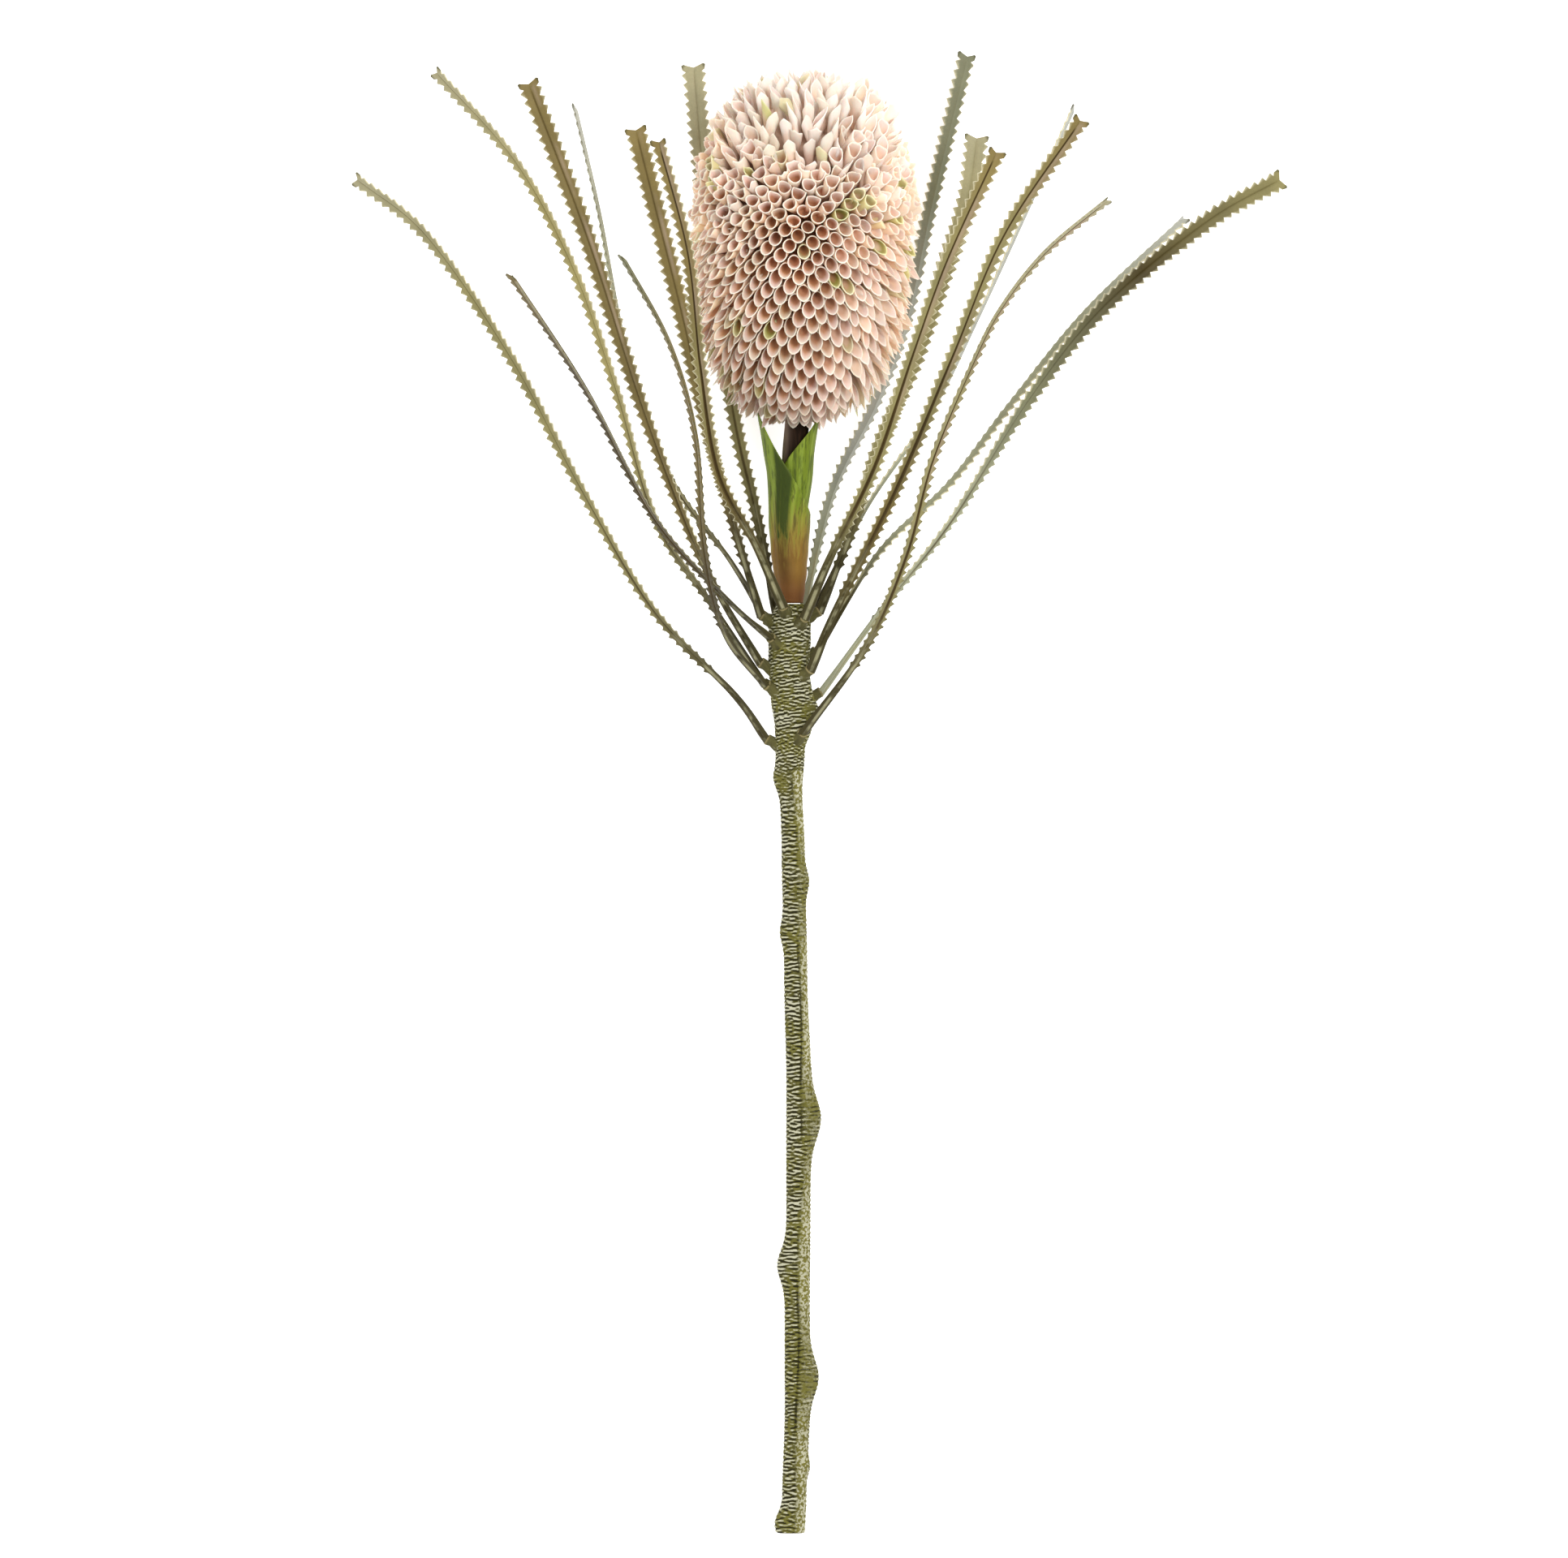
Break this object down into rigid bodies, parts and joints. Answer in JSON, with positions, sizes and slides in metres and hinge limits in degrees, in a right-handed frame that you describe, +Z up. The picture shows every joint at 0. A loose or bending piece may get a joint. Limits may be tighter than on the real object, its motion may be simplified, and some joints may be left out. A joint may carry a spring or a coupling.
{
  "type": "banksia flower",
  "caption": "Cut banksia stem lying down: a barrel-shaped pink flower head of packed scoops, green sheath leaves, long saw-toothed leaves and a knobbly olive stem.",
  "frame": {"origin": "middle of the outline seen from above, on the surface that the flower lies on", "axes": "+Y along the stem towards the flower head, +Z up from the surface, +X to the right of the head"},
  "size_m": [0.4182, 0.6602, 0.1465],
  "materials": {
    "stem": "matte",
    "stalk": "matte",
    "sheath": "satin",
    "head": "matte",
    "leaf": "satin"
  },
  "bodies": {
    "root": {"stem": "stem", "stalk": "stalk", "sheath_outer": "sheath", "sheath_inner": "sheath", "head": "head", "leaf_left_1": "leaf", "leaf_left_2": "leaf", "leaf_left_3": "leaf", "leaf_left_4": "leaf", "leaf_left_5": "leaf", "leaf_left_6": "leaf", "leaf_left_7": "leaf", "leaf_left_8": "leaf", "leaf_left_9": "leaf", "leaf_right_1": "leaf", "leaf_right_2": "leaf", "leaf_right_3": "leaf", "leaf_right_4": "leaf", "leaf_right_5": "leaf", "leaf_right_6": "leaf", "leaf_right_7": "leaf", "leaf_right_8": "leaf"}
  },
  "joints": []
}
